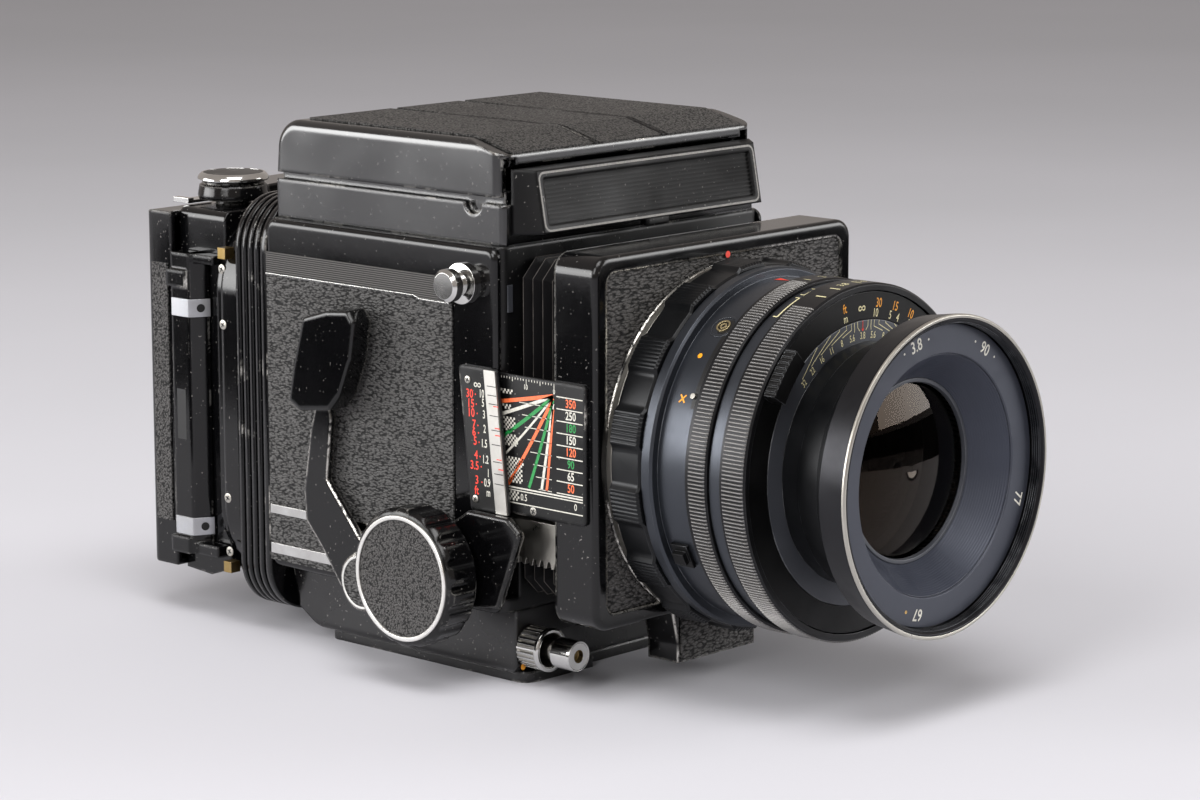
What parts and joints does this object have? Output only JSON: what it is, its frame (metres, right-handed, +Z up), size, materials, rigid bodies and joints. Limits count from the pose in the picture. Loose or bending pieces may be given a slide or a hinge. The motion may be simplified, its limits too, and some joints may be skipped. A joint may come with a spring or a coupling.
{
  "type": "medium format film camera",
  "caption": "Boxy single-lens reflex camera with a bellows-focused lens standard, folding waist-level hood and a revolving roll-film back.",
  "frame": {"origin": "mouth of the tripod socket in the underside of the base plate", "axes": "+Z up, the lens points to -Y, +Y is the long way from lens to back, +X is the viewer's left"},
  "size_m": [0.138, 0.2444, 0.142],
  "materials": {
    "black_paint": "gloss",
    "black_metal": "satin",
    "leather": "grained",
    "chrome": "polished",
    "bright_steel": "brushed",
    "brass": "satin",
    "black_plastic": "matte",
    "gloss_black": "gloss",
    "bellows_cloth": "pleated",
    "mirror": "polished",
    "glass": "polished"
  },
  "bodies": {
    "camera_body": {"body_casting": "black_metal", "right_side_cover": "black_paint", "left_side_cover": "black_paint", "side_leather": "leather", "base_housing": "black_metal", "base_plate": "black_paint", "tripod_bush": "brass", "strap_lugs": "chrome", "distance_panel": "black_metal", "distance_bar": "chrome", "accessory_shoe": "chrome", "rear_frame": "black_metal", "focusing_screen": "glass", "hood_base": "black_metal", "hood_nameplate": "black_plastic"},
    "focus_slide": {"front_standard": "black_metal", "standard_leather": "leather", "focus_rails": "bright_steel", "chart_plate": "black_metal", "bellows": "bellows_cloth", "lens_mount_ring": "chrome", "lens_barrel": "black_metal", "front_barrel": "black_metal", "front_rim": "black_metal", "lens_glasses": "glass", "rear_cell": "black_metal", "leaf_blades": "bright_steel"},
    "focus_drive": {"focus_shaft": "bright_steel", "focus_pinions": "brass", "right_focus_knob": "black_plastic", "left_focus_knob": "black_plastic", "knob_inlays": "leather"},
    "focus_lock": {"focus_lock_lever": "black_paint"},
    "cocking": {"cocking_lever": "black_paint"},
    "release": {"release_button": "chrome"},
    "release_lock": {"release_collar": "chrome"},
    "reflex_mirror": {"mirror": "mirror"},
    "lid": {"hood_lid": "black_metal", "lid_leather": "leather"},
    "left_fold": {"hood_left_panel": "black_metal"},
    "right_fold": {"hood_right_panel": "black_metal"},
    "rear_fold": {"hood_rear_panel": "black_metal"},
    "loupe": {"magnifier": "black_metal"},
    "lock_ring": {"lens_lock_ring": "black_plastic"},
    "shutter_speed": {"speed_ring": "black_metal"},
    "aperture": {"aperture_ring": "black_metal"},
    "distance_scale": {"distance_ring": "black_metal"},
    "sync": {"sync_lever": "black_plastic"},
    "revolving_back": {"revolving_adapter": "black_metal", "magazine_body": "black_metal", "film_insert": "black_metal"},
    "left_bar": {"left_lock_bar": "black_plastic"},
    "right_bar": {"right_lock_bar": "black_plastic"},
    "slide_plate": {"dark_slide": "bright_steel"},
    "supply": {"supply_spool": "black_plastic"},
    "takeup": {"takeup_spool": "black_plastic"},
    "back_cover": {"magazine_cover": "black_metal", "magazine_leather": "leather"},
    "latch": {"cover_latch": "chrome"},
    "wind": {"wind_lever": "black_plastic"}
  },
  "joints": [
    {"name": "focus_travel", "type": "slide", "parent": "camera_body", "child": "focus_slide", "axis": [0, -1, 0], "range_m": [-0.0175, 0.028], "deforming": ["bellows"]},
    {"name": "focus_knob_turn", "type": "hinge", "parent": "camera_body", "child": "focus_drive", "pos_m": [0, -0.0182, 0.0299], "axis": [1, 0, 0], "range_deg": [-209.5, 334.8]},
    {"name": "focus_lock_turn", "type": "hinge", "parent": "camera_body", "child": "focus_lock", "pos_m": [-0.055, -0.0182, 0.0299], "axis": [1, 0, 0], "range_deg": [0, 22]},
    {"name": "cocking_lever_swing", "type": "hinge", "parent": "camera_body", "child": "cocking", "pos_m": [-0.055, 0.0084, 0.0227], "axis": [1, 0, 0], "range_deg": [0, 50], "stiffness_Nm_per_rad": 0.06},
    {"name": "release_press", "type": "slide", "parent": "camera_body", "child": "release", "axis": [0, 1, 0], "range_m": [0, 0.003], "stiffness_N_per_m": 300},
    {"name": "release_lock_turn", "type": "hinge", "parent": "camera_body", "child": "release_lock", "pos_m": [-0.04, -0.04, 0.01], "axis": [0, -1, 0], "range_deg": [0, 60]},
    {"name": "mirror_flip", "type": "hinge", "parent": "camera_body", "child": "reflex_mirror", "pos_m": [0, 0.04, 0.098], "axis": [-1, 0, 0], "range_deg": [0, 45]},
    {"name": "lid_open", "type": "hinge", "parent": "camera_body", "child": "lid", "pos_m": [0, -0.031, 0.1359], "axis": [1, 0, 0], "range_deg": [0, 90]},
    {"name": "left_panel_fold", "type": "hinge", "parent": "camera_body", "child": "left_fold", "pos_m": [0.0458, 0, 0.1298], "axis": [0, 1, 0], "range_deg": [0, 90.5]},
    {"name": "right_panel_fold", "type": "hinge", "parent": "camera_body", "child": "right_fold", "pos_m": [-0.0458, 0, 0.1298], "axis": [0, -1, 0], "range_deg": [0, 90.5]},
    {"name": "rear_panel_fold", "type": "hinge", "parent": "camera_body", "child": "rear_fold", "pos_m": [0, 0.0472, 0.1298], "axis": [-1, 0, 0], "range_deg": [0, 90.5]},
    {"name": "magnifier_swing", "type": "hinge", "parent": "lid", "child": "loupe", "pos_m": [0, -0.0135, 0.1373], "axis": [1, 0, 0], "range_deg": [-90.5, 0]},
    {"name": "lens_lock_turn", "type": "hinge", "parent": "focus_slide", "child": "lock_ring", "pos_m": [0, -0.0757, 0.0628], "axis": [0, -1, 0], "range_deg": [0, 60]},
    {"name": "shutter_speed_turn", "type": "hinge", "parent": "focus_slide", "child": "shutter_speed", "pos_m": [0, -0.0976, 0.0628], "axis": [0, -1, 0], "range_deg": [-75, 75]},
    {"name": "aperture_turn", "type": "hinge", "parent": "focus_slide", "child": "aperture", "pos_m": [0, -0.1095, 0.0628], "axis": [0, -1, 0], "range_deg": [-65, 65]},
    {"name": "distance_scale_turn", "type": "hinge", "parent": "focus_slide", "child": "distance_scale", "pos_m": [0, -0.112, 0.0628], "axis": [0, -1, 0], "range_deg": [-120, 120]},
    {"name": "sync_lever_slide", "type": "hinge", "parent": "focus_slide", "child": "sync", "pos_m": [0, -0.0885, 0.0628], "axis": [0, -1, 0], "range_deg": [0, 16]},
    {"name": "back_revolve", "type": "hinge", "parent": "camera_body", "child": "revolving_back", "pos_m": [0, 0.062, 0.0628], "axis": [0, 1, 0], "range_deg": [-90, 0]},
    {"name": "left_bar_slide", "type": "slide", "parent": "revolving_back", "child": "left_bar", "axis": [0, 0, 1], "range_m": [0, 0.005]},
    {"name": "right_bar_slide", "type": "slide", "parent": "revolving_back", "child": "right_bar", "axis": [0, 0, 1], "range_m": [0, 0.005]},
    {"name": "dark_slide_pull", "type": "slide", "parent": "revolving_back", "child": "slide_plate", "axis": [1, 0, 0], "range_m": [0, 0.076]},
    {"name": "takeup_spool_turn", "type": "hinge", "parent": "revolving_back", "child": "takeup", "pos_m": [0, 0.0892, 0.0985], "axis": [1, 0, 0], "range_deg": [0, 181]},
    {"name": "supply_spool_turn", "type": "hinge", "parent": "revolving_back", "child": "supply", "pos_m": [0, 0.0892, 0.0271], "axis": [1, 0, 0], "range_deg": [0, 181]},
    {"name": "back_cover_open", "type": "hinge", "parent": "revolving_back", "child": "back_cover", "pos_m": [0, 0.0923, 0.0106], "axis": [-1, 0, 0], "range_deg": [0, 80]},
    {"name": "cover_latch_lift", "type": "hinge", "parent": "back_cover", "child": "latch", "pos_m": [0.022, 0.098, 0.1144], "axis": [-1, 0, 0], "range_deg": [0, 35]},
    {"name": "wind_stroke", "type": "hinge", "parent": "revolving_back", "child": "wind", "pos_m": [-0.031, 0.086, 0.118], "axis": [0, 0, 1], "range_deg": [0, 180]}
  ],
  "couplings": [
    {"joint": "focus_knob_turn", "follows": "focus_travel", "rad_per_m": 208.33},
    {"joint": "left_panel_fold", "follows": "lid_open", "ratio": 1},
    {"joint": "right_panel_fold", "follows": "lid_open", "ratio": 1},
    {"joint": "rear_panel_fold", "follows": "lid_open", "ratio": 1},
    {"joint": "magnifier_swing", "follows": "lid_open", "ratio": -1},
    {"joint": "takeup_spool_turn", "follows": "wind_stroke", "ratio": 1},
    {"joint": "supply_spool_turn", "follows": "wind_stroke", "ratio": 1}
  ]
}
